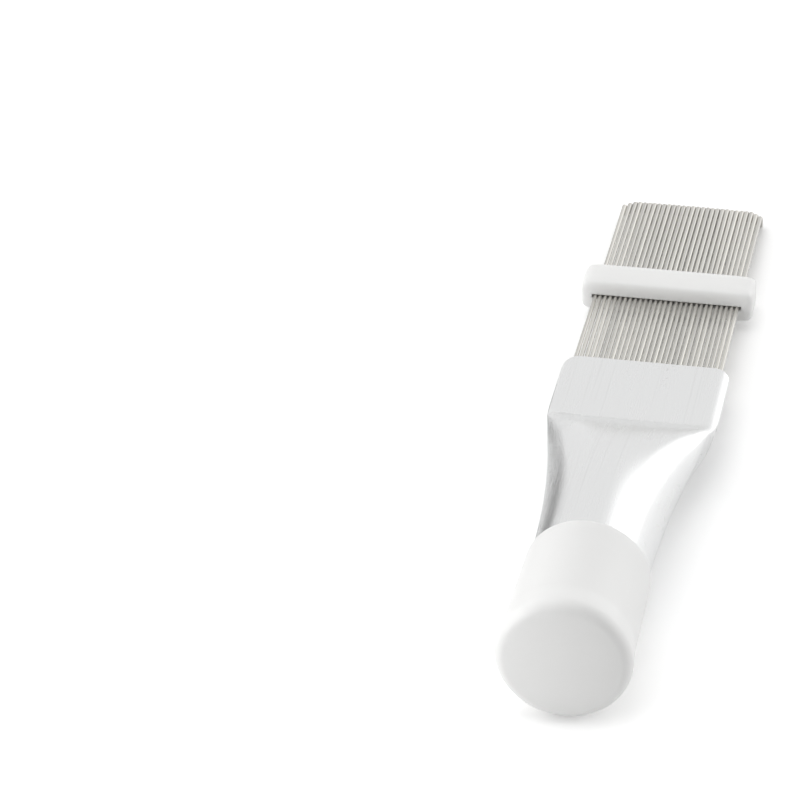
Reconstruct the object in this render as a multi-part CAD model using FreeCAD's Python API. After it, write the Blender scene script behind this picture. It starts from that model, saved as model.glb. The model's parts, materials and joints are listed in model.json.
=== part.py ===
import FreeCAD, Part
import math
import os

os.makedirs("parts", exist_ok=True)

# Air conditioner fin comb, in millimetres.
# It is drawn first in its own straight frame: X across the row of wires, Y from the
# handle towards the tips, Z up, with the middle of the flat mouth at the origin.
# At the end every piece is laid down on Z = 0 the way the comb rests on a table, with
# the origin in the middle below it.

# Handle tube: a round aluminium tube pressed flat at one end
TUBE_OD = 22.0
TUBE_WALL = 0.8
FLAT_LENGTH = 21.7
FLARE_LENGTH = 51.0
FLARE_BOW = 2.4
BARE_ROUND = 0.6
MOUTH_CORNER = 3.2
FLARE_SECTIONS = 8

# Wires: one flat row, each with a short hook at its tip
WIRE_DIA = 0.75
WIRE_PITCH = 1.035
ROW_SIDE_PLAY = 0.8
WIRE_REACH = 68.5
WIRE_END_BEFORE_FLARE = 4.0
GRIP_PLAY = 0.02
HOOK_RADIUS = 1.6
HOOK_TIP = 1.1
EDGE_WIRE_SHORTER = 1.3

# Slider: a slotted plastic bar threaded over the row
SLIDER_FROM_MOUTH = 25.9
SLIDER_LENGTH = 9.0
SLIDER_BAR = 3.0
SLIDER_END = 2.4
SLIDER_CORNER = 4.0
SLIDER_EDGE = 2.2
SLOT_PLAY = 0.25
SLOT_SIDE_PLAY = 0.4
SLOT_EDGE = 0.3

# End cap: a soft plastic cap pushed over the round end
CAP_LENGTH = 29.3
CAP_FLOOR = 2.2
CAP_LIP_WALL = 0.6
CAP_BODY_GAIN = 0.3
CAP_BEAD_GAIN = 0.45
CAP_LIP_ROUND = 0.3
CAP_ROUND = 3.2
CAP_BEAD_LENGTH = 5.0
CAP_DOME_RADIUS = 90.0

# Sizes that follow from those above
FLAT_HEIGHT = WIRE_DIA + 2 * GRIP_PLAY + 2 * TUBE_WALL
FLAT_WIDTH = math.pi * (TUBE_OD - FLAT_HEIGHT) / 2 + FLAT_HEIGHT
ROW_ROOM = FLAT_WIDTH - 2 * TUBE_WALL - 2 * ROW_SIDE_PLAY
WIRE_COUNT = 1 + int((ROW_ROOM - WIRE_DIA) / WIRE_PITCH)
ROW_WIDTH = (WIRE_COUNT - 1) * WIRE_PITCH + WIRE_DIA
FLARE_START = -FLAT_LENGTH
FLARE_END = FLARE_START - FLARE_LENGTH
ROUND_LENGTH = BARE_ROUND + CAP_LENGTH - CAP_FLOOR
TUBE_END = FLARE_END - ROUND_LENGTH
CAP_TIP = TUBE_END - CAP_FLOOR
CAP_RIM = CAP_TIP + CAP_LENGTH
TUBE_RADIUS = TUBE_OD / 2
LIP_RADIUS = TUBE_RADIUS + CAP_LIP_WALL
BODY_RADIUS = LIP_RADIUS + CAP_BODY_GAIN
BEAD_RADIUS = BODY_RADIUS + CAP_BEAD_GAIN
HOOK_DROP = HOOK_RADIUS + HOOK_TIP
WIRE_BACK = WIRE_END_BEFORE_FLARE - FLAT_LENGTH
SLOT_WIDTH = ROW_WIDTH + 2 * SLOT_SIDE_PLAY
SLOT_HEIGHT = WIRE_DIA + 2 * SLOT_PLAY


def flare_section(y, half_height, side_angle, inset):
    """Closed oval across the tube at y, made of two end arcs and a top and bottom arc.

    The outside keeps the length round the tube that it had before it was pressed, so
    the half width follows from the half height.  side_angle is how far each end arc
    turns above and below the middle: 90 degrees is a flat with round edges, and 45
    degrees is a full circle.  inset moves the oval inwards, for the inside of the wall.
    """
    turn = math.radians(side_angle)
    rest = math.pi / 2 - turn
    quarter = math.pi * TUBE_OD / 4
    slope = (1 - math.sin(turn)) / math.cos(turn)
    share = rest / math.cos(turn)
    half_width = ((1 - slope) * quarter + (share - math.pi / 2) * half_height) / (share - slope * math.pi / 2)
    end_radius = (half_height - slope * half_width) / (1 - slope)
    top_radius = end_radius + (half_width - end_radius) / math.cos(turn)
    end_middle = half_width - end_radius
    top_middle = half_height - top_radius
    end_radius -= inset
    top_radius -= inset
    corner_x = end_middle + end_radius * math.cos(turn)
    corner_z = end_radius * math.sin(turn)

    def point(x, z):
        return FreeCAD.Vector(x, y, z)

    right = Part.Arc(point(corner_x, -corner_z), point(end_middle + end_radius, 0), point(corner_x, corner_z))
    top = Part.Arc(point(corner_x, corner_z), point(0, top_middle + top_radius), point(-corner_x, corner_z))
    left = Part.Arc(point(-corner_x, corner_z), point(-end_middle - end_radius, 0), point(-corner_x, -corner_z))
    bottom = Part.Arc(point(-corner_x, -corner_z), point(0, -top_middle - top_radius), point(corner_x, -corner_z))
    return Part.Wire([edge.toShape() for edge in (right, top, left, bottom)])


def flat_section(y, inset):
    """Closed section of the pressed end at y: two straight sides and two half circles."""
    half_height = FLAT_HEIGHT / 2
    radius = half_height - inset
    middle = FLAT_WIDTH / 2 - half_height

    def point(x, z):
        return FreeCAD.Vector(x, y, z)

    right = Part.Arc(point(middle, -radius), point(middle + radius, 0), point(middle, radius)).toShape()
    top = Part.makeLine(point(middle, radius), point(-middle, radius))
    left = Part.Arc(point(-middle, radius), point(-middle - radius, 0), point(-middle, -radius)).toShape()
    bottom = Part.makeLine(point(-middle, -radius), point(middle, -radius))
    return Part.Wire([right, top, left, bottom])


def flare_solid(inset):
    """The part of the tube that swells from the flat to the full round."""
    sections = [flat_section(FLARE_START, inset)]
    for step in range(1, FLARE_SECTIONS):
        part_way = step / (FLARE_SECTIONS - 1)
        rise = 1 - (1 - part_way) ** FLARE_BOW
        half_height = FLAT_HEIGHT / 2 + (TUBE_RADIUS - FLAT_HEIGHT / 2) * rise
        side_angle = 90 - 45 * part_way ** 1.5
        y = FLARE_START - FLARE_LENGTH * part_way
        sections.append(flare_section(y, half_height, side_angle, inset))
    return Part.makeLoft(sections, True, False)


def mouth_corner_cut(side):
    """The sliver outside the rounded corner of the flat mouth, on one side."""
    edge = FLAT_WIDTH / 2
    over = FLAT_HEIGHT
    middle_x = edge - MOUTH_CORNER
    middle_y = -MOUTH_CORNER
    bow = MOUTH_CORNER * math.sqrt(0.5)

    def point(x, y):
        return FreeCAD.Vector(side * x, y, -over)

    arc = Part.Arc(point(edge, middle_y), point(middle_x + bow, middle_y + bow), point(middle_x, 0)).toShape()
    outline = Part.Wire([
        arc,
        Part.makeLine(point(middle_x, 0), point(middle_x, over)),
        Part.makeLine(point(middle_x, over), point(edge + over, over)),
        Part.makeLine(point(edge + over, over), point(edge + over, middle_y)),
        Part.makeLine(point(edge + over, middle_y), point(edge, middle_y)),
    ])
    return Part.Face(outline).extrude(FreeCAD.Vector(0, 0, 2 * over))


def make_handle_tube():
    """One tube: flat end, flare and round end, hollow all the way."""
    solids = []
    for inset in (0, TUBE_WALL):
        flat = Part.Face(flat_section(0, inset)).extrude(FreeCAD.Vector(0, -FLAT_LENGTH, 0))
        flare = flare_solid(inset)
        start = FreeCAD.Vector(0, FLARE_END, 0)
        round_end = Part.makeCylinder(TUBE_RADIUS - inset, ROUND_LENGTH, start, FreeCAD.Vector(0, -1, 0))
        solids.append((flat, flare, round_end))
    rings = [outer.cut(inner) for outer, inner in zip(*solids)]
    tube = rings[0].fuse(rings[1:]).removeSplitter()
    for side in (-1, 1):
        tube = tube.cut(mouth_corner_cut(side))
    return tube


def wire_reach(index):
    """How far a wire reaches past the mouth: the outermost wires are a little shorter."""
    from_edge = min(index, WIRE_COUNT - 1 - index)
    return WIRE_REACH - EDGE_WIRE_SHORTER * math.exp(-1.6 * from_edge)


def make_wire(index):
    """A straight round wire with its tip bent straight down."""
    x = (index - (WIRE_COUNT - 1) / 2) * WIRE_PITCH
    bend_start = wire_reach(index) - WIRE_DIA / 2 - HOOK_RADIUS
    bow = HOOK_RADIUS * math.sqrt(0.5)
    back = FreeCAD.Vector(x, WIRE_BACK, 0)
    knee = FreeCAD.Vector(x, bend_start, 0)
    middle = FreeCAD.Vector(x, bend_start + bow, bow - HOOK_RADIUS)
    ankle = FreeCAD.Vector(x, bend_start + HOOK_RADIUS, -HOOK_RADIUS)
    tip = FreeCAD.Vector(x, bend_start + HOOK_RADIUS, -HOOK_DROP)
    path = Part.Wire([Part.makeLine(back, knee), Part.Arc(knee, middle, ankle).toShape(), Part.makeLine(ankle, tip)])
    section = Part.Wire(Part.makeCircle(WIRE_DIA / 2, back, FreeCAD.Vector(0, 1, 0)))
    return path.makePipeShell([section], True, False)


def make_slider():
    """A bar with rounded ends and edges, and one slot that the whole row passes through."""
    width = SLOT_WIDTH + 2 * SLIDER_END
    height = SLOT_HEIGHT + 2 * SLIDER_BAR
    corner_radius = min(SLIDER_CORNER, 0.45 * SLIDER_LENGTH)
    edge_radius = min(SLIDER_EDGE, 0.8 * SLIDER_BAR, 0.8 * corner_radius)
    corner = FreeCAD.Vector(-width / 2, SLIDER_FROM_MOUTH, -height / 2)
    bar = Part.makeBox(width, SLIDER_LENGTH, height, corner)
    upright = [edge for edge in bar.Edges if abs(edge.tangentAt(edge.FirstParameter).z) > 0.9]
    bar = bar.makeFillet(corner_radius, upright)
    level = [edge for edge in bar.Edges if abs(abs(edge.BoundBox.ZMin) - height / 2) < 0.001
             and edge.BoundBox.ZLength < 0.001]
    bar = bar.makeFillet(edge_radius, level)
    slot_corner = FreeCAD.Vector(-SLOT_WIDTH / 2, SLIDER_FROM_MOUTH - SLIDER_LENGTH, -SLOT_HEIGHT / 2)
    bar = bar.cut(Part.makeBox(SLOT_WIDTH, 3 * SLIDER_LENGTH, SLOT_HEIGHT, slot_corner))
    faces_y = (SLIDER_FROM_MOUTH, SLIDER_FROM_MOUTH + SLIDER_LENGTH)
    rims = [edge for edge in bar.Edges if edge.BoundBox.YLength < 0.001
            and min(abs(edge.BoundBox.YMin - y) for y in faces_y) < 0.001
            and edge.BoundBox.ZMin > -SLOT_HEIGHT / 2 - 0.001
            and edge.BoundBox.ZMax < SLOT_HEIGHT / 2 + 0.001]
    return bar.makeFillet(SLOT_EDGE, rims)


def cap_bead():
    """Middle of the round edge of the cap's closed end, as (r, y), and its lean in the dome."""
    edge_r = BEAD_RADIUS - CAP_ROUND
    lean = math.asin(edge_r / (CAP_DOME_RADIUS - CAP_ROUND))
    edge_y = CAP_TIP + CAP_DOME_RADIUS - (CAP_DOME_RADIUS - CAP_ROUND) * math.cos(lean)
    return edge_r, edge_y, lean


def cap_point(r, y):
    """A point of the cap's turned profile."""
    return FreeCAD.Vector(r, y, 0)


def cap_lip():
    """Rounded outer edge of the cap's open end."""
    cut = CAP_LIP_ROUND * (1 - math.sqrt(0.5))
    start = cap_point(LIP_RADIUS - CAP_LIP_ROUND, CAP_RIM)
    end = cap_point(LIP_RADIUS, CAP_RIM - CAP_LIP_ROUND)
    return Part.Arc(start, cap_point(LIP_RADIUS - cut, CAP_RIM - cut), end).toShape()


def cap_swell(neck_y, edge_y):
    """Hollow and round arc, end to end, by which the wall grows into the bead."""
    radius = (CAP_BEAD_LENGTH ** 2 + CAP_BEAD_GAIN ** 2) / (4 * CAP_BEAD_GAIN)
    half_turn = math.asin(CAP_BEAD_LENGTH / 2 / radius) / 2
    on = radius * math.sin(half_turn)
    out = radius * (1 - math.cos(half_turn))
    halfway = cap_point(BODY_RADIUS + CAP_BEAD_GAIN / 2, (neck_y + edge_y) / 2)
    hollow = Part.Arc(cap_point(BODY_RADIUS, neck_y), cap_point(BODY_RADIUS + out, neck_y - on), halfway)
    swell = Part.Arc(halfway, cap_point(BEAD_RADIUS - out, edge_y + on), cap_point(BEAD_RADIUS, edge_y))
    return hollow.toShape(), swell.toShape()


def cap_end(edge_r, edge_y, lean):
    """Round outer edge of the closed end, and the shallow dome that it runs into."""
    turn = (math.pi / 2 - lean) / 2
    dome_start = cap_point(edge_r + CAP_ROUND * math.sin(lean), edge_y - CAP_ROUND * math.cos(lean))
    edge_middle = cap_point(edge_r + CAP_ROUND * math.cos(turn), edge_y - CAP_ROUND * math.sin(turn))
    dome_y = CAP_TIP + CAP_DOME_RADIUS
    dome_middle = cap_point(CAP_DOME_RADIUS * math.sin(lean / 2), dome_y - CAP_DOME_RADIUS * math.cos(lean / 2))
    edge = Part.Arc(cap_point(BEAD_RADIUS, edge_y), edge_middle, dome_start)
    dome = Part.Arc(dome_start, dome_middle, cap_point(0, CAP_TIP))
    return edge.toShape(), dome.toShape()


def make_end_cap():
    """A turned profile: thin lip, slight flare, thicker bead and a shallow domed end."""
    edge_r, edge_y, lean = cap_bead()
    neck_y = edge_y + CAP_BEAD_LENGTH
    hollow, swell = cap_swell(neck_y, edge_y)
    edge, dome = cap_end(edge_r, edge_y, lean)
    outline = Part.Wire([
        Part.makeLine(cap_point(0, TUBE_END), cap_point(TUBE_RADIUS, TUBE_END)),
        Part.makeLine(cap_point(TUBE_RADIUS, TUBE_END), cap_point(TUBE_RADIUS, CAP_RIM)),
        Part.makeLine(cap_point(TUBE_RADIUS, CAP_RIM), cap_point(LIP_RADIUS - CAP_LIP_ROUND, CAP_RIM)),
        cap_lip(),
        Part.makeLine(cap_point(LIP_RADIUS, CAP_RIM - CAP_LIP_ROUND), cap_point(BODY_RADIUS, neck_y)),
        hollow,
        swell,
        edge,
        dome,
        Part.makeLine(cap_point(0, CAP_TIP), cap_point(0, TUBE_END)),
    ])
    return Part.Face(outline).revolve(FreeCAD.Vector(0, 0, 0), FreeCAD.Vector(0, 1, 0), 360)


def resting_placement():
    """Turn and lift that lay the comb on the round of its cap and on the ends of its hooks.

    The line that it rests on goes through the outer corner of a wire's end and touches
    either the cap's bead or its lip, whichever stands out further.
    """
    edge_r, edge_y, lean = cap_bead()
    lip_middle = (LIP_RADIUS - CAP_LIP_ROUND, CAP_RIM - CAP_LIP_ROUND, CAP_LIP_ROUND)
    tip_y = wire_reach(WIRE_COUNT // 2)
    tip_z = -HOOK_DROP
    tilt = 0
    for r, y, rounding in ((edge_r, edge_y, CAP_ROUND), lip_middle):
        along = tip_y - y
        down = tip_z + r
        tilt = max(tilt, math.atan2(down, along) + math.asin(rounding / math.hypot(along, down)))
    turn = FreeCAD.Rotation(FreeCAD.Vector(1, 0, 0), -math.degrees(tilt))
    tip = turn.multVec(FreeCAD.Vector(0, tip_y, tip_z))
    return FreeCAD.Placement(FreeCAD.Vector(0, 0, -tip.z), turn)


pieces = {"handle_tube": make_handle_tube(), "end_cap": make_end_cap(), "slider": make_slider()}
for index in range(WIRE_COUNT):
    pieces["wire_%02d" % (index + 1)] = make_wire(index)

lying = resting_placement()
comb = Part.makeCompound(list(pieces.values()))
comb.Placement = lying
box = comb.optimalBoundingBox(False, False)
to_origin = FreeCAD.Vector(0, -(box.YMin + box.YMax) / 2, -box.ZMin)
middle = FreeCAD.Placement(to_origin, FreeCAD.Rotation())
for name, shape in pieces.items():
    solid = shape.Solids[0]
    solid.Placement = middle.multiply(lying).multiply(solid.Placement)
    solid.exportStep("parts/" + name + ".step")
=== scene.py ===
import json
import math
import random

import bmesh
import bpy
from mathutils import Matrix, Vector


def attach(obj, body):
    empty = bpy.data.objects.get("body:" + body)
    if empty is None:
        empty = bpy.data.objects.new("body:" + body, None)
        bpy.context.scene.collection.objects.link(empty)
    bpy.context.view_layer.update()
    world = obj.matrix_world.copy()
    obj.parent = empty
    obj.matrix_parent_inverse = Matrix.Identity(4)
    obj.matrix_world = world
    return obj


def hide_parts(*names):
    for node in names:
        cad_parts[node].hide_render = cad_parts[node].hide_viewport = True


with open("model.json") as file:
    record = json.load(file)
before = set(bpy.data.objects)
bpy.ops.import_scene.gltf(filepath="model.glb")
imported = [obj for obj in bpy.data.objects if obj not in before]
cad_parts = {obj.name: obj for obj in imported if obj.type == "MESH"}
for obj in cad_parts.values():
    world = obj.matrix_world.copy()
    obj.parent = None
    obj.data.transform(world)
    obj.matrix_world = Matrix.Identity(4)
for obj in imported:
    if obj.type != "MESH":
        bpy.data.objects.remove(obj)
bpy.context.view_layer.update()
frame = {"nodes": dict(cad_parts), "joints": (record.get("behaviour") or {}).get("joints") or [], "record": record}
bpy.ops.object.select_all(action="DESELECT")

# Wires: one flat row of drawn stainless wire, each tip bent straight down, clamped side by
# side in the pressed end of the tube. Each piece is modelled straight, with Y along the comb
# and the middle of the tube's mouth at the origin, then laid tilted on its cap and wire tips.
MM = 0.001
WIRE_DIA = 0.75 * MM
FLAT_HEIGHT = 2.39 * MM
FLAT_LENGTH = 21.7 * MM
along = Vector(frame["joints"][0]["axis"])
flat_top = frame["record"]["mounts"][0]
flat_up = Vector(flat_top["axis"])
mouth = Vector(flat_top["pos_m"]) - flat_up * FLAT_HEIGHT / 2 + along * FLAT_LENGTH / 2
lay = Matrix.Translation(mouth) @ Matrix((Vector((1, 0, 0)), along, flat_up)).transposed().to_4x4()
in_comb_frame = lay.inverted()


def reach_of(node):
    """Lowest and highest corner of a CAD node in the comb's own straight frame."""
    points = [in_comb_frame @ v.co for v in frame["nodes"][node].data.vertices]
    low = Vector([min(p[i] for p in points) for i in range(3)])
    high = Vector([max(p[i] for p in points) for i in range(3)])
    return low, high


def lay_down(piece, smooth_angle):
    """Move a finished straight piece to where it lies, and smooth its faces."""
    piece.data.transform(lay)
    bpy.ops.object.shade_smooth_by_angle(angle=math.radians(smooth_angle))
    bpy.ops.object.select_all(action="DESELECT")


STEEL_DARK = (0.57, 0.56, 0.535, 1.0)
STEEL_LIGHT = (0.76, 0.745, 0.70, 1.0)
WIRE_SIDES = 20
WIRE_STEPS = 14
HOOK_RADIUS = 1.6 * MM
HOOK_STEPS = 10
TIP_ROUND = 0.12 * MM
WIRE_WIDENED = 0.13
TIP_WIDENED = 0.18
TIP_BLEND = 30.0 * MM
CORNER_DROP = (0.2 * MM, 0.55 * MM, 0.1 * MM)
CORNER_TIGHT = (0.38, 0.12, 0.0)
SPACING_SLIP = 0.02 * MM
BOW_SLIP = 0.05 * MM
REACH_SLIP = 0.12 * MM
TIP_LINE_SLANT = 0.02
ROW_SMOOTH_ANGLE = 40
wire_nodes = sorted(name for name in frame["nodes"] if name.startswith("wire_"))
low, high = reach_of(wire_nodes[len(wire_nodes) // 2])
full_reach = high.y - WIRE_DIA / 2
bend_start = full_reach - HOOK_RADIUS

bpy.ops.mesh.primitive_circle_add(vertices=WIRE_SIDES, radius=WIRE_DIA / 2, fill_type="NGON",
                                  location=(0, low.y, 0), rotation=(math.pi / 2, 0, 0))
first_wire = bpy.context.object
bpy.ops.object.transform_apply(location=True, rotation=True, scale=True)
bpy.ops.object.mode_set(mode="EDIT")
bpy.ops.mesh.select_all(action="SELECT")
one_step = (bend_start - low.y) / WIRE_STEPS
for step in range(WIRE_STEPS):
    bpy.ops.mesh.extrude_region_move(TRANSFORM_OT_translate={"value": (0, one_step, 0)})
bpy.ops.mesh.spin(steps=HOOK_STEPS, angle=math.pi / 2, center=(0, bend_start, -HOOK_RADIUS), axis=(1, 0, 0))
bpy.ops.mesh.extrude_region_move(TRANSFORM_OT_translate={"value": (0, 0, low.z + HOOK_RADIUS)})
bpy.ops.mesh.bevel(offset=TIP_ROUND, segments=3, affect="EDGES")
bpy.ops.mesh.select_all(action="SELECT")
bpy.ops.mesh.remove_doubles(threshold=1e-7)
bpy.ops.mesh.normals_make_consistent(inside=False)
bpy.ops.object.mode_set(mode="OBJECT")

draw_lines = bpy.data.node_groups.new("draw_lines", "ShaderNodeTree")
draw_lines.interface.new_socket("Vector", in_out="INPUT", socket_type="NodeSocketVector")
draw_lines.interface.new_socket("Stretch", in_out="INPUT", socket_type="NodeSocketVector")
draw_lines.interface.new_socket("Detail", in_out="INPUT", socket_type="NodeSocketFloat")
draw_lines.interface.new_socket("Lines", in_out="OUTPUT", socket_type="NodeSocketFloat")
given = draw_lines.nodes.new("NodeGroupInput")
result = draw_lines.nodes.new("NodeGroupOutput")
stretch = draw_lines.nodes.new("ShaderNodeMapping")
noise = draw_lines.nodes.new("ShaderNodeTexNoise")
noise.inputs["Scale"].default_value = 1.0
draw_lines.links.new(given.outputs["Vector"], stretch.inputs["Vector"])
draw_lines.links.new(given.outputs["Stretch"], stretch.inputs["Scale"])
draw_lines.links.new(stretch.outputs["Vector"], noise.inputs["Vector"])
draw_lines.links.new(given.outputs["Detail"], noise.inputs["Detail"])
draw_lines.links.new(noise.outputs["Fac"], result.inputs["Lines"])


def feed(links, socket, value):
    """Give a socket a plain number, or link it to another node's output."""
    if isinstance(value, (int, float)):
        socket.default_value = value
    else:
        links.new(value, socket)


def remap(nodes, links, value, from_range, to_range, smooth=False):
    """Turn one range of a value into another."""
    node = nodes.new("ShaderNodeMapRange")
    if smooth:
        node.interpolation_type = "SMOOTHSTEP"
    feed(links, node.inputs["Value"], value)
    for name, end in zip(("From Min", "From Max", "To Min", "To Max"), from_range + to_range):
        feed(links, node.inputs[name], end)
    return node.outputs["Result"]


def lines_on(nodes, links, vector, stretch, detail):
    """Draw lines on a drawn metal, with their own stretch and detail."""
    node = nodes.new("ShaderNodeGroup")
    node.node_tree = draw_lines
    node.inputs["Stretch"].default_value = stretch
    node.inputs["Detail"].default_value = detail
    links.new(vector, node.inputs["Vector"])
    return node.outputs["Lines"]


steel = bpy.data.materials.new("drawn_steel_wire")
steel.use_nodes = True
nodes = steel.node_tree.nodes
links = steel.node_tree.links
shader = nodes["Principled BSDF"]
shader.inputs["Metallic"].default_value = 1.0
coords = nodes.new("ShaderNodeTexCoord")
tone = nodes.new("ShaderNodeValToRGB")
tone.color_ramp.elements[0].position = 0.3
tone.color_ramp.elements[0].color = STEEL_DARK
tone.color_ramp.elements[1].position = 0.7
tone.color_ramp.elements[1].color = STEEL_LIGHT
wire_to_wire = lines_on(nodes, links, coords.outputs["Object"], (1300, 14, 40), 1.0)
links.new(wire_to_wire, tone.inputs["Fac"])
links.new(tone.outputs["Color"], shader.inputs["Base Color"])
fine_lines = lines_on(nodes, links, coords.outputs["Object"], (9000, 160, 9000), 3.0)
links.new(remap(nodes, links, fine_lines, (0, 1), (0.28, 0.42)), shader.inputs["Roughness"])
first_wire.data.materials.append(steel)

random.seed(29)
for number, name in enumerate(wire_nodes):
    low, high = reach_of(name)
    middle_x = (low.x + high.x) / 2
    short = random.uniform(0, REACH_SLIP) + TIP_LINE_SLANT * max(0, middle_x)
    from_edge = min(number, len(wire_nodes) - 1 - number)
    tight = 0
    if from_edge < len(CORNER_DROP):
        short += CORNER_DROP[from_edge]
        tight = CORNER_TIGHT[from_edge]
    shift = high.y - WIRE_DIA / 2 - short - full_reach
    spread = random.uniform(-SPACING_SLIP, SPACING_SLIP)
    bow = random.uniform(-BOW_SLIP, BOW_SLIP)
    wire = first_wire.copy()
    wire.data = first_wire.data.copy()
    wire.name = "drawn_" + name
    bpy.context.scene.collection.objects.link(wire)
    for v in wire.data.vertices:
        out = max(0, v.co.y) / full_reach
        to_bend = min(1, max(0, 1 + (v.co.y - bend_start) / TIP_BLEND))
        v.co.x *= 1 + WIRE_WIDENED + TIP_WIDENED * to_bend ** 2
        v.co.x += middle_x + spread * out + bow * math.sin(math.pi * out)
        if v.co.y > bend_start - 1e-6:
            v.co.y += shift - tight * (v.co.y - bend_start)
    wire.select_set(True)
    bpy.context.view_layer.objects.active = wire
    lay_down(wire, ROW_SMOOTH_ANGLE)
    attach(wire, "comb")
    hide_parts(name)
bpy.data.objects.remove(first_wire)

# Handle: a round aluminium tube, drawn, then pressed flat at one end over the wires.
# Behind the flat a crease shows where the press ended, and from there the tube swells
# until it is round again under the cap.
TUBE_SIDES = 192
TUBE_RADIUS = 11.0 * MM
TUBE_WALL = 0.8 * MM
FLARE_LENGTH = 51.0 * MM
FLARE_BOW = 2.4
CREASE_SOFT = 0.6 * MM
CREASE_ENDS = 5.0 * MM
EDGE_ROUND = 3.2 * MM
MOUTH_CORNER = 3.2 * MM
MOUTH_BLEND = 9 * MM
SHOULDER_BLEND = 14 * MM
FLAT_SIDE_ANGLE = 89.5
ROUND_SIDE_ANGLE = 45.0
SIDE_ANGLE_EASE = 1.5
SEAM_GAP = 0.002 * MM
BARE_ALUMINIUM = (0.89, 0.895, 0.895, 1.0)
SCUFFED_ALUMINIUM = (0.72, 0.72, 0.715, 1.0)
low, high = reach_of("handle_tube")
tube_end = low.y
flat_edge = high.x
rows = [0, 0.12 * MM, 0.3 * MM, 0.6 * MM]
rows += [(1.1 + 1.1 * i) * MM for i in range(18)]
rows += [FLAT_LENGTH + d * MM for d in (-0.8, -0.5, -0.25, 0, 0.25, 0.5, 0.8, 1.2)]
rows += [FLAT_LENGTH + (1.8 + 1.2 * i) * MM for i in range(41)]
rows += [FLAT_LENGTH + FLARE_LENGTH + 6.5 * MM * i for i in range(4)] + [-tube_end]


def oval_point(share, half_height, side_angle):
    """Point on the tube's section, share of the way round it from the +X side."""
    turn = math.radians(side_angle)
    rest = math.pi / 2 - turn
    quarter = math.pi * TUBE_RADIUS / 2
    slope = (1 - math.sin(turn)) / math.cos(turn)
    part = rest / math.cos(turn)
    half_width = ((1 - slope) * quarter + (part - math.pi / 2) * half_height) / (part - slope * math.pi / 2)
    end_radius = (half_height - slope * half_width) / (1 - slope)
    top_radius = end_radius + (half_width - end_radius) / math.cos(turn)
    run = (share % 1.0) * 4
    corner = int(run)
    step = run - corner
    if corner % 2:
        step = 1 - step
    arc = step * quarter
    if arc <= end_radius * turn:
        angle = arc / end_radius
        x = half_width - end_radius + end_radius * math.cos(angle)
        z = end_radius * math.sin(angle)
    else:
        angle = math.pi / 2 - (quarter - arc) / top_radius
        x = top_radius * math.cos(angle)
        z = half_height - top_radius + top_radius * math.sin(angle)
    return (x if corner in (0, 3) else -x), (z if corner in (0, 1) else -z)


bpy.ops.mesh.primitive_grid_add(x_subdivisions=TUBE_SIDES, y_subdivisions=len(rows) - 1, size=1)
tube = bpy.context.object
tube.name = "pressed_tube"
for v in tube.data.vertices:
    share = v.co.x + 0.5
    across = oval_point(share, FLAT_HEIGHT / 2, FLAT_SIDE_ANGLE)[0] / flat_edge
    soft = CREASE_SOFT + CREASE_ENDS * across ** 6
    row = rows[round((0.5 - v.co.y) * (len(rows) - 1))]
    into_flare = row - FLAT_LENGTH
    part_way = min(max(into_flare / FLARE_LENGTH, 0), 1)
    rise = 1 - (1 - part_way) ** FLARE_BOW
    if abs(into_flare) < soft:
        rise = FLARE_BOW * (into_flare + soft) ** 2 / (4 * soft * FLARE_LENGTH)
    half_height = FLAT_HEIGHT / 2 + (TUBE_RADIUS - FLAT_HEIGHT / 2) * rise
    side_angle = FLAT_SIDE_ANGLE + (ROUND_SIDE_ANGLE - FLAT_SIDE_ANGLE) * part_way ** SIDE_ANGLE_EASE
    x, z = oval_point(share, half_height, side_angle)
    from_shoulder = min(max(0, abs(x) - (flat_edge - EDGE_ROUND)) / EDGE_ROUND, 1)
    shoulder = math.copysign(half_height * math.sqrt(1 - from_shoulder ** 2), z)
    fade = min(1, max(0, into_flare) / SHOULDER_BLEND)
    z += (shoulder - z) * (1 - fade * fade * (3 - 2 * fade))
    beyond = max(0, abs(x) - (flat_edge - MOUTH_CORNER))
    drop = MOUTH_CORNER - math.sqrt(max(0, MOUTH_CORNER ** 2 - beyond ** 2))
    v.co = (x, -row - drop * max(0, 1 - row / MOUTH_BLEND), z)
bpy.ops.object.mode_set(mode="EDIT")
bpy.ops.mesh.select_all(action="SELECT")
bpy.ops.mesh.remove_doubles(threshold=SEAM_GAP)
bpy.ops.mesh.normals_make_consistent(inside=False)
bpy.ops.object.mode_set(mode="OBJECT")
wall = tube.modifiers.new("wall", "SOLIDIFY")
wall.thickness = TUBE_WALL
wall.offset = -1
wall.use_even_offset = True
bpy.ops.object.modifier_apply(modifier="wall")
lay_down(tube, 50)

fine_grain = bpy.data.node_groups.new("fine_grain", "ShaderNodeTree")
fine_grain.interface.new_socket("Scale", in_out="INPUT", socket_type="NodeSocketFloat")
fine_grain.interface.new_socket("Amount", in_out="INPUT", socket_type="NodeSocketFloat")
fine_grain.interface.new_socket("Grain", in_out="OUTPUT", socket_type="NodeSocketFloat")
given = fine_grain.nodes.new("NodeGroupInput")
result = fine_grain.nodes.new("NodeGroupOutput")
place = fine_grain.nodes.new("ShaderNodeTexCoord")
noise = fine_grain.nodes.new("ShaderNodeTexNoise")
scaled = fine_grain.nodes.new("ShaderNodeMath")
scaled.operation = "MULTIPLY"
fine_grain.links.new(place.outputs["Object"], noise.inputs["Vector"])
fine_grain.links.new(given.outputs["Scale"], noise.inputs["Scale"])
fine_grain.links.new(noise.outputs["Fac"], scaled.inputs[0])
fine_grain.links.new(given.outputs["Amount"], scaled.inputs[1])
fine_grain.links.new(scaled.outputs["Value"], result.inputs["Grain"])


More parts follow.
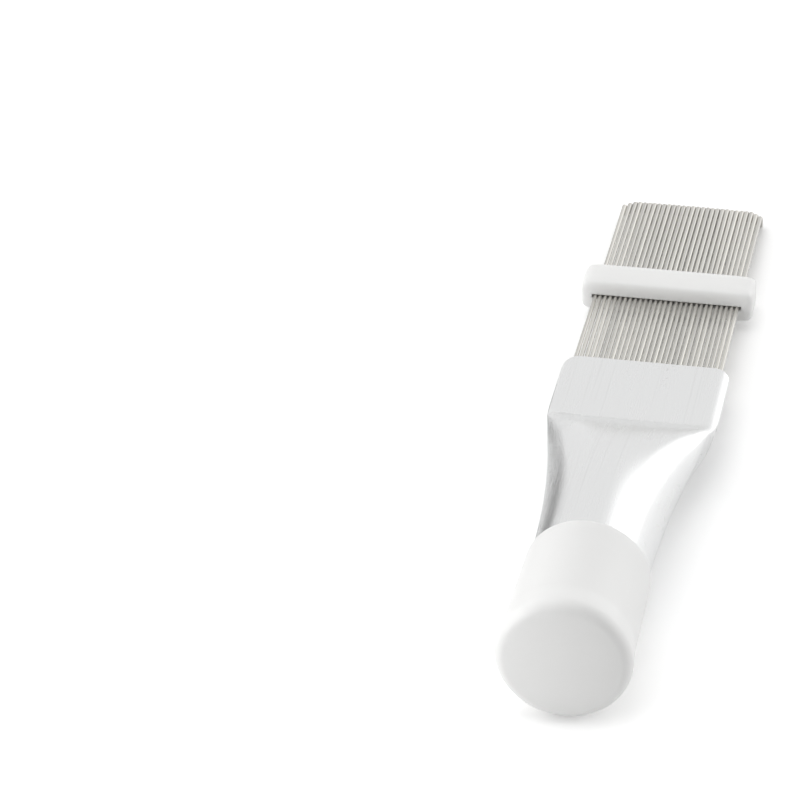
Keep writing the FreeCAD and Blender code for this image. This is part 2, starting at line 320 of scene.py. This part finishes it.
def combine(nodes, links, operation, *values):
    """Math node over plain numbers and other nodes' outputs."""
    node = nodes.new("ShaderNodeMath")
    node.operation = operation
    for socket, value in zip(node.inputs, values):
        feed(links, socket, value)
    return node.outputs["Value"]


aluminium = bpy.data.materials.new("pressed_aluminium")
aluminium.use_nodes = True
nodes = aluminium.node_tree.nodes
links = aluminium.node_tree.links
shader = nodes["Principled BSDF"]
shader.inputs["Metallic"].default_value = 1.0
coords = nodes.new("ShaderNodeTexCoord")
fine_lines = lines_on(nodes, links, coords.outputs["UV"], (300, 5, 1), 3.0)
wide_lines = lines_on(nodes, links, coords.outputs["UV"], (120, 1.5, 1), 2.0)
squeezed = nodes.new("ShaderNodeMapping")
squeezed.inputs["Scale"].default_value = (2200, 900, 1200)
links.new(coords.outputs["Object"], squeezed.inputs["Vector"])
specks = nodes.new("ShaderNodeTexNoise")
specks.inputs["Scale"].default_value = 1.0
specks.inputs["Detail"].default_value = 5.0
specks.inputs["Roughness"].default_value = 0.7
links.new(squeezed.outputs["Vector"], specks.inputs["Vector"])
patches = nodes.new("ShaderNodeTexNoise")
patches.inputs["Scale"].default_value = 70.0
links.new(coords.outputs["Object"], patches.inputs["Vector"])
in_patches = combine(nodes, links, "MULTIPLY", specks.outputs["Fac"], patches.outputs["Fac"])
scuffs = remap(nodes, links, in_patches, (0.385, 0.5), (0, 1))
drawn = remap(nodes, links, wide_lines, (0.58, 0.72), (0, 0.2))
colour = nodes.new("ShaderNodeMix")
colour.data_type = "RGBA"
colour.inputs["A"].default_value = BARE_ALUMINIUM
colour.inputs["B"].default_value = SCUFFED_ALUMINIUM
links.new(combine(nodes, links, "MAXIMUM", scuffs, drawn), colour.inputs["Factor"])
links.new(colour.outputs["Result"], shader.inputs["Base Color"])
polish = remap(nodes, links, fine_lines, (0, 1), (0.21, 0.31))
links.new(combine(nodes, links, "MULTIPLY_ADD", scuffs, 0.12, polish), shader.inputs["Roughness"])
where = nodes.new("ShaderNodeSeparateXYZ")
links.new(coords.outputs["UV"], where.inputs["Vector"])
round_side = remap(nodes, links, where.outputs["X"], (0.37, 0.44), (0, 1), smooth=True)
past_crease = remap(nodes, links, where.outputs["Y"], (0.66, 0.6), (0.1, 1))
grain = nodes.new("ShaderNodeGroup")
grain.node_tree = fine_grain
grain.inputs["Scale"].default_value = 2600.0
stretched = combine(nodes, links, "MULTIPLY_ADD", round_side, past_crease, 0.06)
links.new(stretched, grain.inputs["Amount"])
ridge = nodes.new("ShaderNodeBump")
ridge.inputs["Strength"].default_value = 1.0
ridge.inputs["Distance"].default_value = 0.2 * MM
relief = combine(nodes, links, "MULTIPLY_ADD", fine_lines, 0.022, grain.outputs["Grain"])
links.new(relief, ridge.inputs["Height"])
links.new(ridge.outputs["Normal"], shader.inputs["Normal"])
tube.data.materials.append(aluminium)
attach(tube, "comb")
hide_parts("handle_tube")

# Slider: one moulded bar of soft-edged white plastic with a slot through it.
# It is threaded over the whole row of wires and is pushed along them by hand.
SLIDER_END = 2.4 * MM
SLOT_SNUG = 0.05 * MM
BELLY_FORWARD = 1.5 * MM
CORNER_SPAN = 8.0 * MM
SLOT_EDGE = 0.12 * MM
SOFT_LEVELS = 4
WHITE_PLASTIC = (0.87, 0.87, 0.86, 1.0)
low, high = reach_of("slider")
size = high - low
centre = (high + low) / 2
half = size / 2
slot_x = half.x - SLIDER_END
slot_z = WIRE_DIA / 2 + SLOT_SNUG


def pick(obj, kind, test):
    """In edit mode, select the faces or edges that pass a test, and nothing else."""
    bpy.ops.mesh.select_mode(type=kind)
    bpy.ops.mesh.select_all(action="DESELECT")
    edit = bmesh.from_edit_mesh(obj.data)
    for item in (edit.faces if kind == "FACE" else edit.edges):
        item.select_set(test(item))
    bmesh.update_edit_mesh(obj.data)


bpy.ops.mesh.primitive_cube_add(size=1, location=centre, scale=size)
slider = bpy.context.object
slider.name = "moulded_slider"
bpy.ops.object.transform_apply(location=True, rotation=True, scale=True)
cuts = [((side * (half.x - CORNER_SPAN), 0, 0), (1, 0, 0)) for side in (-1, 1)]
cuts += [((0, -BELLY_FORWARD, 0), (0, 1, 0))]
cuts += [((0, 0, side * slot_z), (0, 0, 1)) for side in (-1, 1)]
bpy.ops.object.mode_set(mode="EDIT")
for offset, normal in cuts:
    bpy.ops.mesh.select_all(action="SELECT")
    bpy.ops.mesh.bisect(plane_co=centre + Vector(offset), plane_no=normal)
pick(slider, "FACE", lambda f: abs(f.normal.y) > 0.9 and (f.calc_center_median() - centre).xz.length < 1e-5)
bpy.ops.mesh.bridge_edge_loops()
for side in (-1, 1):
    pick(slider, "EDGE", lambda e: all(v.co.x * side > half.x - CORNER_SPAN - 1e-6 for v in e.verts)
         and abs((e.verts[0].co - e.verts[1].co).z) > 2 * slot_z - 1e-6
         and all(v.co.x * side < half.x - CORNER_SPAN + 1e-6 for v in e.verts))
    bpy.ops.transform.translate(value=(side * (CORNER_SPAN - SLIDER_END), 0, 0))


def on_slot_rim(edge):
    """Whether an edge of the slider is part of the mouth of its slot."""
    return all(abs(abs(v.co.y - centre.y) - half.y) < 1e-6 and abs(v.co.x) < slot_x + 1e-6
               and abs(v.co.z - centre.z) < slot_z + 1e-6 for v in edge.verts)


pick(slider, "EDGE", on_slot_rim)
bpy.ops.transform.edge_crease(value=1)
bpy.ops.mesh.select_all(action="SELECT")
bpy.ops.mesh.normals_make_consistent(inside=False)
bpy.ops.object.mode_set(mode="OBJECT")
soft = slider.modifiers.new("soft_edges", "SUBSURF")
soft.levels = SOFT_LEVELS
soft.render_levels = SOFT_LEVELS
bpy.ops.object.modifier_apply(modifier="soft_edges")
bpy.ops.object.mode_set(mode="EDIT")
pick(slider, "EDGE", on_slot_rim)
bpy.ops.mesh.bevel(offset=SLOT_EDGE, segments=2, affect="EDGES")
bpy.ops.object.mode_set(mode="OBJECT")
lay_down(slider, 40)

white_plastic = bpy.data.materials.new("white_moulded_plastic")
white_plastic.use_nodes = True
nodes = white_plastic.node_tree.nodes
links = white_plastic.node_tree.links
shader = nodes["Principled BSDF"]
shader.inputs["Base Color"].default_value = WHITE_PLASTIC
shader.inputs["Roughness"].default_value = 0.38
shader.inputs["Subsurface Weight"].default_value = 0.25
shader.inputs["Subsurface Radius"].default_value = (1.0, 1.0, 1.0)
shader.inputs["Subsurface Scale"].default_value = 2.5 * MM
grain = nodes.new("ShaderNodeGroup")
grain.node_tree = fine_grain
grain.inputs["Scale"].default_value = 900.0
grain.inputs["Amount"].default_value = 1.0
ridge = nodes.new("ShaderNodeBump")
ridge.inputs["Strength"].default_value = 0.08
ridge.inputs["Distance"].default_value = 0.1 * MM
links.new(grain.outputs["Grain"], ridge.inputs["Height"])
links.new(ridge.outputs["Normal"], shader.inputs["Normal"])
slider.data.materials.append(white_plastic)
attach(slider, "spacer")
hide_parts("slider")

# End cap: a soft white plastic cap with a thicker bead round its closed end.
# It is pushed over the round end of the tube and grips it.
CAP_SIDES = 160
CAP_ROUND = 2.6 * MM
CAP_BODY_GAIN = 0.3 * MM
CAP_BEAD_GAIN = 0.45 * MM
CAP_LIP_ROUND = 0.3 * MM
CAP_BEAD_LENGTH = 5.0 * MM
CAP_DOME_RADIUS = 50.0 * MM
low, high = reach_of("end_cap")
cap_tip = low.y
cap_rim = high.y
bead_radius = high.x
body_radius = bead_radius - CAP_BEAD_GAIN
lip_radius = body_radius - CAP_BODY_GAIN
edge_radius = bead_radius - CAP_ROUND
lean = math.asin(edge_radius / (CAP_DOME_RADIUS - CAP_ROUND))
edge_middle = cap_tip + CAP_DOME_RADIUS - (CAP_DOME_RADIUS - CAP_ROUND) * math.cos(lean)
neck = edge_middle + CAP_BEAD_LENGTH
profile = [(TUBE_RADIUS, tube_end), (TUBE_RADIUS, cap_rim - 0.1 * MM), (TUBE_RADIUS + 0.1 * MM, cap_rim)]
lip_foot = cap_rim - CAP_LIP_ROUND
for i in range(5):
    angle = math.pi / 2 * (1 - i / 4)
    profile.append((lip_radius - CAP_LIP_ROUND + CAP_LIP_ROUND * math.cos(angle),
                    lip_foot + CAP_LIP_ROUND * math.sin(angle)))
for i in range(1, 9):
    profile.append((lip_radius + CAP_BODY_GAIN * i / 8, lip_foot + (neck - lip_foot) * i / 8))
for i in range(1, 11):
    part_way = i / 10
    ease = part_way * part_way * (3 - 2 * part_way)
    profile.append((body_radius + CAP_BEAD_GAIN * ease, neck - CAP_BEAD_LENGTH * part_way))
for i in range(1, 15):
    angle = (math.pi / 2 - lean) * i / 14
    profile.append((edge_radius + CAP_ROUND * math.cos(angle), edge_middle - CAP_ROUND * math.sin(angle)))
dome_r = profile[-1][0]
for i in range(1, 10):
    r = dome_r * (1 - i / 10)
    profile.append((r, cap_tip + CAP_DOME_RADIUS - math.sqrt(CAP_DOME_RADIUS ** 2 - r ** 2)))
bpy.ops.mesh.primitive_circle_add(vertices=CAP_SIDES, radius=TUBE_RADIUS, location=(0, tube_end, 0),
                                  rotation=(math.pi / 2, 0, 0))
cap = bpy.context.object
cap.name = "end_cap_skin"
bpy.ops.object.transform_apply(location=True, rotation=True, scale=True)
bpy.ops.object.mode_set(mode="EDIT")
bpy.ops.mesh.select_all(action="SELECT")
was_r, was_y = profile[0]
for r, y in profile[1:]:
    bpy.ops.mesh.extrude_region_move(TRANSFORM_OT_translate={"value": (0, y - was_y, 0)})
    bpy.ops.transform.resize(value=(r / was_r, 1, r / was_r), center_override=(0, y, 0))
    was_r, was_y = r, y
bpy.ops.mesh.extrude_region_move(TRANSFORM_OT_translate={"value": (0, cap_tip - was_y, 0)})
bpy.ops.mesh.merge(type="CENTER")
pick(cap, "EDGE", lambda e: e.is_boundary)
bpy.ops.mesh.edge_face_add()
bpy.ops.mesh.select_all(action="SELECT")
bpy.ops.mesh.normals_make_consistent(inside=False)
bpy.ops.object.mode_set(mode="OBJECT")
lay_down(cap, 40)
soft_plastic = white_plastic.copy()
soft_plastic.name = "soft_white_plastic"
soft_plastic.node_tree.nodes["Principled BSDF"].inputs["Roughness"].default_value = 0.42
cap.data.materials.append(soft_plastic)
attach(cap, "comb")
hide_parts("end_cap")

# Floor, lights and camera: the comb lies on a white table in soft studio light, with a
# dark card beside it that only its metal reflects. The camera looks from the photo's side.
PAPER = 0.92
PAPER_SEEN = 1.28
GLOSSY_SHARE = 0.35
bpy.ops.mesh.primitive_plane_add(size=4, location=(0, 0, 0))
floor = bpy.context.object
floor.name = "floor"
paper = bpy.data.materials.new("white_table")
paper.use_nodes = True
nodes = paper.node_tree.nodes
links = paper.node_tree.links
nodes.clear()
out = nodes.new("ShaderNodeOutputMaterial")
matt = nodes.new("ShaderNodeBsdfDiffuse")
path = nodes.new("ShaderNodeLightPath")
by_camera = path.outputs["Is Camera Ray"]
seen = combine(nodes, links, "MULTIPLY_ADD", path.outputs["Is Glossy Ray"], GLOSSY_SHARE, by_camera)
links.new(remap(nodes, links, seen, (0, 1), (PAPER, PAPER_SEEN)), matt.inputs["Color"])
links.new(matt.outputs["BSDF"], out.inputs["Surface"])
floor.data.materials.append(paper)

CARD_FOOT = -37.5 * MM
CARD_TOP = Vector((-52 * MM, 0, 15.2 * MM))
CARD_ENDS = (-40 * MM, 42 * MM)
CARD_FADES = (-10 * MM, 42 * MM)
CARD_GREYS = (0.12, 0.3)
bpy.ops.mesh.primitive_plane_add(size=1)
card = bpy.context.object
card.name = "dark_card"
for v in card.data.vertices:
    foot = Vector((CARD_FOOT, 0, 0))
    v.co = foot.lerp(CARD_TOP, v.co.x + 0.5) + Vector((0, CARD_ENDS[0] if v.co.y < 0 else CARD_ENDS[1], 0))
dark = bpy.data.materials.new("dark_card")
dark.use_nodes = True
nodes = dark.node_tree.nodes
links = dark.node_tree.links
coords = nodes.new("ShaderNodeTexCoord")
along_card = nodes.new("ShaderNodeSeparateXYZ")
links.new(coords.outputs["Object"], along_card.inputs["Vector"])
fading = remap(nodes, links, along_card.outputs["Y"], CARD_FADES, CARD_GREYS)
links.new(fading, nodes["Principled BSDF"].inputs["Base Color"])
card.data.materials.append(dark)
card.visible_camera = False
card.visible_diffuse = False
card.visible_shadow = False
card.visible_transmission = False

SKY = 0.84
FRONT_SKY = 0.09
FRONT_WAY = Vector((0.52, -0.81, 0.28)).normalized()
GLOW_SKY = 0.7
GLOW_WAY = Vector((0.565, 0.807, 0.174)).normalized()
SKY_PARTS = ((FRONT_WAY, (0.25, 0.95), (SKY, FRONT_SKY)), (GLOW_WAY, (0.85, 0.99), (0, GLOW_SKY)))
world = bpy.data.worlds.new("studio")
bpy.context.scene.world = world
world.use_nodes = True
nodes = world.node_tree.nodes
links = world.node_tree.links
backdrop = nodes["Background"]
backdrop.inputs["Color"].default_value = (1, 1, 1, 1)
sky = nodes.new("ShaderNodeTexCoord")
parts = []
for way, from_range, to_range in SKY_PARTS:
    toward = nodes.new("ShaderNodeVectorMath")
    toward.operation = "DOT_PRODUCT"
    toward.inputs[1].default_value = way
    links.new(sky.outputs["Generated"], toward.inputs[0])
    parts.append(remap(nodes, links, toward.outputs["Value"], from_range, to_range, smooth=True))
path = nodes.new("ShaderNodeLightPath")
all_sky = combine(nodes, links, "ADD", *parts)
strength = remap(nodes, links, path.outputs["Is Camera Ray"], (0, 1), (all_sky, 1))
links.new(strength, backdrop.inputs["Strength"])

LAMPS = {
    "overhead_box": ((-0.15, 0.0, 0.8), (0.5, 0.5), 0.86),
    "left_box": ((-0.5, -0.05, 0.25), (0.35, 0.35), 0.2),
    "near_box": ((-0.34, -0.25, 0.1), (0.2, 0.2), 0.55),
    "right_box": ((0.6, -0.05, 0.25), (0.4, 0.4), 0.95),
}
for name, (stand, box_size, power) in LAMPS.items():
    lamp = bpy.data.lights.new(name, "AREA")
    lamp.shape = "RECTANGLE"
    lamp.size, lamp.size_y = box_size
    lamp.energy = power
    box = bpy.data.objects.new(name, lamp)
    bpy.context.scene.collection.objects.link(box)
    box.location = stand
    box.rotation_euler = (-Vector(stand)).to_track_quat("-Z", "Y").to_euler()

EYE_AT = (82.53 * MM, -604.1 * MM, 366.18 * MM)
EYE_TURN = math.radians(12.376)
EYE_RISE = math.radians(31.51)
EYE_ROLL = math.radians(-1.168)
camera = bpy.data.cameras.new("camera")
camera.lens = 162.0
camera.sensor_width = 36.0
eye = bpy.data.objects.new("camera", camera)
bpy.context.scene.collection.objects.link(eye)
turn = (Matrix.Rotation(EYE_TURN, 4, "Z") @ Matrix.Rotation(math.pi / 2 - EYE_RISE, 4, "X")
        @ Matrix.Rotation(EYE_ROLL, 4, "Z"))
eye.matrix_world = lay @ Matrix.Translation(EYE_AT) @ turn
bpy.context.scene.camera = eye
bpy.context.scene.view_settings.view_transform = "Standard"
